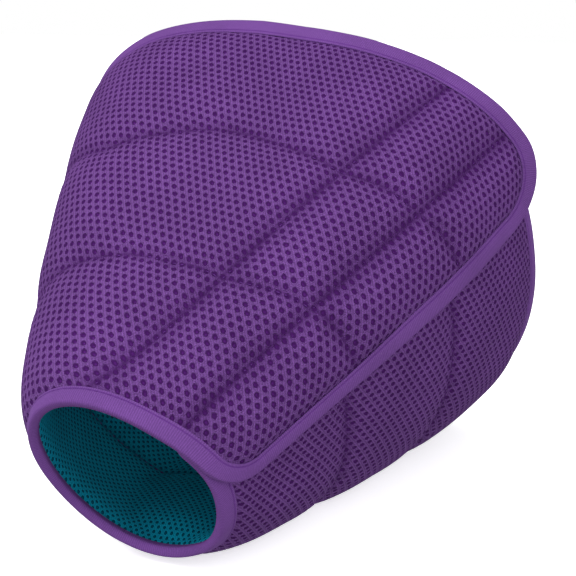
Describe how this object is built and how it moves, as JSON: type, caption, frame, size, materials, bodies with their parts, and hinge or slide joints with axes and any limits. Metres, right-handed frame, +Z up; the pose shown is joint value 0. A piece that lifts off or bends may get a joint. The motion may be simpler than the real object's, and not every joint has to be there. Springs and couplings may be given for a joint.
{
  "type": "soft recovery cone",
  "caption": "Padded wrap-round recovery cone for a dog: quilted purple mesh outside, teal mesh lining, taped edges, lying on its side wrapped shut.",
  "frame": {"origin": "centre of the footprint, on the floor that the cone lies on", "axes": "+Z up; +Y level from the neck opening towards the wide rim; +X to the side where the flap ends"},
  "size_m": [0.3046, 0.3384, 0.2778],
  "materials": {
    "cover_mesh": "purple knitted spacer mesh with round holes, matt",
    "lining_mesh": "teal knitted spacer mesh with small round holes, matt",
    "binding_tape": "lighter purple ribbed tape, slight sheen",
    "hook_and_loop": "dark fuzzy hook-and-loop tape, matt"
  },
  "bodies": {
    "root": {"outer_cover": "cover_mesh", "inner_lining": "lining_mesh", "edge_binding": "binding_tape", "closure_strip": "hook_and_loop"}
  },
  "joints": []
}
